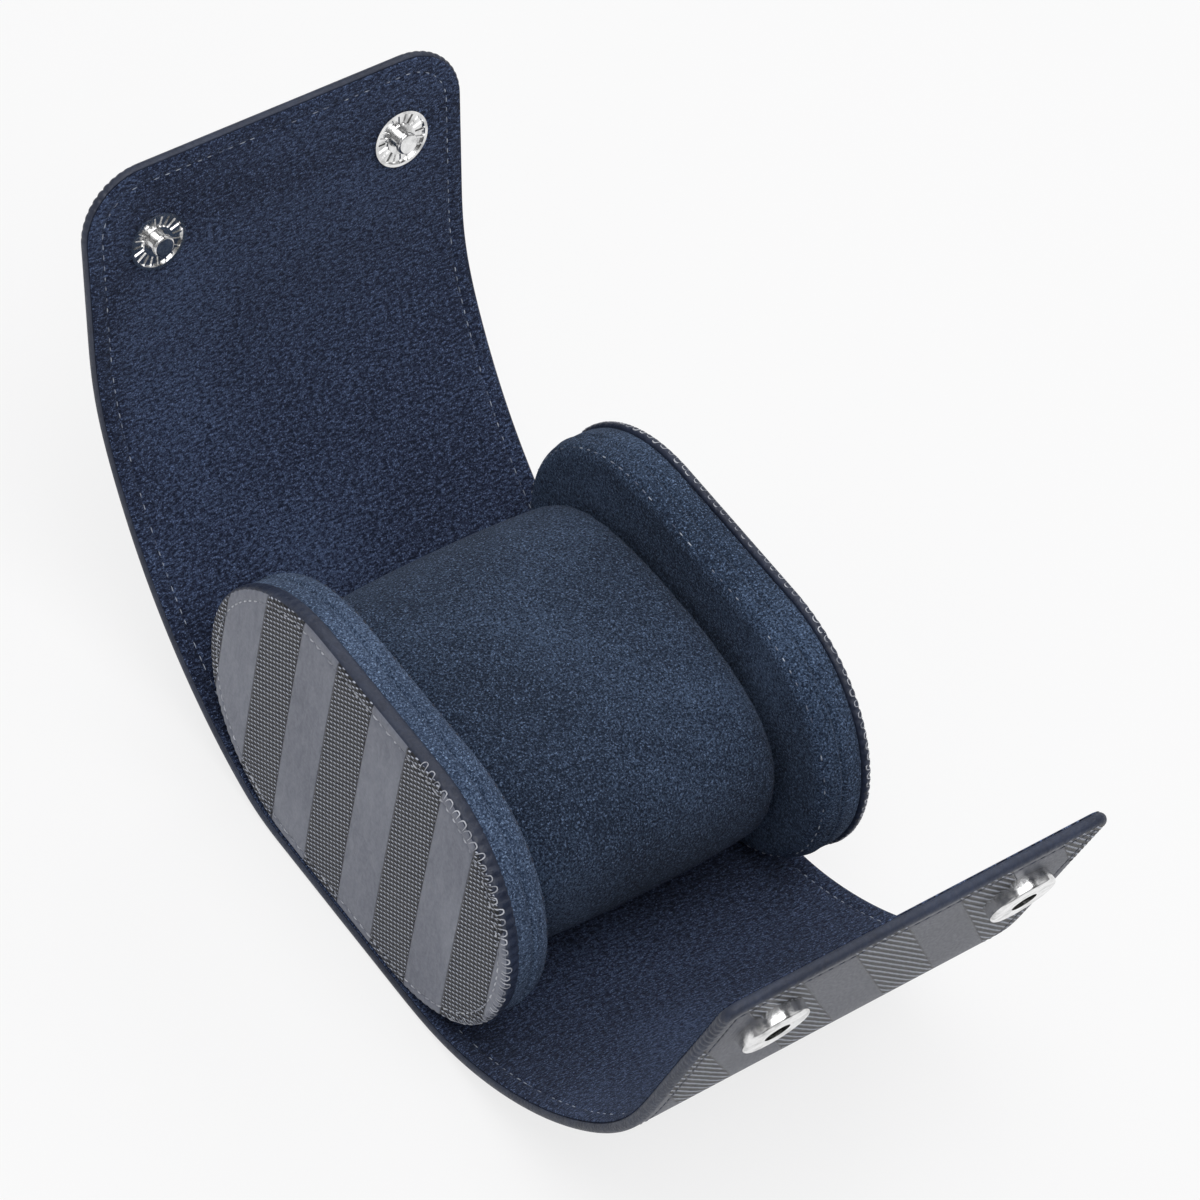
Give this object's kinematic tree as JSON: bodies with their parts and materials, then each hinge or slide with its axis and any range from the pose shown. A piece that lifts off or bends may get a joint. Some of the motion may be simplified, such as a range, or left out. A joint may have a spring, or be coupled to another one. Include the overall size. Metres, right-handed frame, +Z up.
{
  "type": "watch roll",
  "caption": "Lined leather watch roll with a wide flap and lip that snap shut round two stadium end discs and a lift-out pillow.",
  "frame": {"origin": "under the middle of the end discs, on the flat bottom of the base that the roll rests on", "axes": "+X along the roll from the left disc to the right disc, +Y towards the back flap, -Y towards the front lip, +Z up"},
  "size_m": [0.085, 0.2046, 0.1023],
  "materials": {
    "outer_leather": "satin",
    "suede_lining": "matte",
    "disc_suede": "matte",
    "pillow_suede": "matte",
    "board": "matte",
    "foam": "matte",
    "magnet": "satin",
    "chrome": "polished"
  },
  "bodies": {
    "base": {"base_leather": "outer_leather", "base_board": "board", "base_lining": "suede_lining", "left_disc_face": "outer_leather", "left_disc_board": "board", "left_disc_foam": "foam", "left_disc_suede": "disc_suede", "right_disc_face": "outer_leather", "right_disc_board": "board", "right_disc_foam": "foam", "right_disc_suede": "disc_suede"},
    "flap_1": {"flap_leather_1": "outer_leather", "flap_lining_1": "suede_lining"},
    "flap_2": {"flap_leather_2": "outer_leather", "flap_lining_2": "suede_lining"},
    "flap_3": {"flap_leather_3": "outer_leather", "flap_lining_3": "suede_lining"},
    "flap_4": {"flap_leather_4": "outer_leather", "flap_lining_4": "suede_lining"},
    "flap_5": {"flap_leather_5": "outer_leather", "flap_lining_5": "suede_lining"},
    "flap_end": {"flap_end_leather": "outer_leather", "flap_end_board": "board", "flap_end_lining": "suede_lining", "stud_plates": "chrome", "studs": "chrome", "stud_washers": "chrome"},
    "lip_1": {"lip_leather_1": "outer_leather", "lip_lining_1": "suede_lining"},
    "lip_2": {"lip_leather_2": "outer_leather", "lip_lining_2": "suede_lining"},
    "lip_3": {"lip_leather_3": "outer_leather", "lip_lining_3": "suede_lining"},
    "lip_4": {"lip_leather_4": "outer_leather", "lip_lining_4": "suede_lining"},
    "lip_end": {"lip_end_leather": "outer_leather", "lip_end_board": "board", "lip_end_lining": "suede_lining", "magnet_caps": "chrome", "magnet_rings": "magnet", "magnet_rivets": "chrome", "magnet_washers": "chrome"},
    "pillow": {"pillow_sleeve": "pillow_suede", "pillow_core": "foam"}
  },
  "joints": [
    {"name": "flap_fold_1", "type": "hinge", "parent": "base", "child": "flap_1", "pos_m": [0, 0.025, 0.00125], "axis": [1, 0, 0], "range_deg": [-5.1, 7.07]},
    {"name": "flap_fold_2", "type": "hinge", "parent": "flap_1", "child": "flap_2", "pos_m": [0, 0.04292, 0.00831], "axis": [1, 0, 0], "range_deg": [-17.97, 24.95]},
    {"name": "flap_fold_3", "type": "hinge", "parent": "flap_2", "child": "flap_3", "pos_m": [0, 0.05908, 0.01881], "axis": [1, 0, 0], "range_deg": [-15.81, 21.96]},
    {"name": "flap_fold_4", "type": "hinge", "parent": "flap_3", "child": "flap_4", "pos_m": [0, 0.07318, 0.03195], "axis": [1, 0, 0], "range_deg": [-13.19, 18.31]},
    {"name": "flap_fold_5", "type": "hinge", "parent": "flap_4", "child": "flap_5", "pos_m": [0, 0.08506, 0.04715], "axis": [1, 0, 0], "range_deg": [-9.49, 13.17]},
    {"name": "flap_fold_6", "type": "hinge", "parent": "flap_5", "child": "flap_end", "pos_m": [0, 0.09287, 0.06469], "axis": [1, 0, 0], "range_deg": [-13.42, 18.63]},
    {"name": "lip_fold_1", "type": "hinge", "parent": "base", "child": "lip_1", "pos_m": [0, -0.025, 0.00125], "axis": [-1, 0, 0], "range_deg": [-12.05, 19.44]},
    {"name": "lip_fold_2", "type": "hinge", "parent": "lip_1", "child": "lip_2", "pos_m": [0, -0.04514, 0.00498], "axis": [-1, 0, 0], "range_deg": [-12.9, 20.79]},
    {"name": "lip_fold_3", "type": "hinge", "parent": "lip_2", "child": "lip_3", "pos_m": [0, -0.0632, 0.01478], "axis": [-1, 0, 0], "range_deg": [-11.56, 18.63]},
    {"name": "lip_fold_4", "type": "hinge", "parent": "lip_3", "child": "lip_4", "pos_m": [0, -0.07823, 0.0288], "axis": [-1, 0, 0], "range_deg": [-7.46, 12.02]},
    {"name": "lip_fold_5", "type": "hinge", "parent": "lip_4", "child": "lip_end", "pos_m": [0, -0.08766, 0.04693], "axis": [-1, 0, 0], "range_deg": [-21.21, 34.2]},
    {"name": "pillow_lift", "type": "slide", "parent": "base", "child": "pillow", "axis": [0, 0, 1], "range_m": [0, 0.1]}
  ],
  "couplings": [
    {"joint": "flap_fold_1", "follows": "flap_fold_2", "ratio": 0.28261},
    {"joint": "flap_fold_3", "follows": "flap_fold_2", "ratio": 0.87911},
    {"joint": "flap_fold_4", "follows": "flap_fold_2", "ratio": 0.73299},
    {"joint": "flap_fold_5", "follows": "flap_fold_2", "ratio": 0.52701},
    {"joint": "flap_fold_6", "follows": "flap_fold_2", "ratio": 0.74587},
    {"joint": "lip_fold_2", "follows": "lip_fold_1", "ratio": 1.0682},
    {"joint": "lip_fold_3", "follows": "lip_fold_1", "ratio": 0.95715},
    {"joint": "lip_fold_4", "follows": "lip_fold_1", "ratio": 0.61719},
    {"joint": "lip_fold_5", "follows": "lip_fold_1", "ratio": 1.7579}
  ]
}
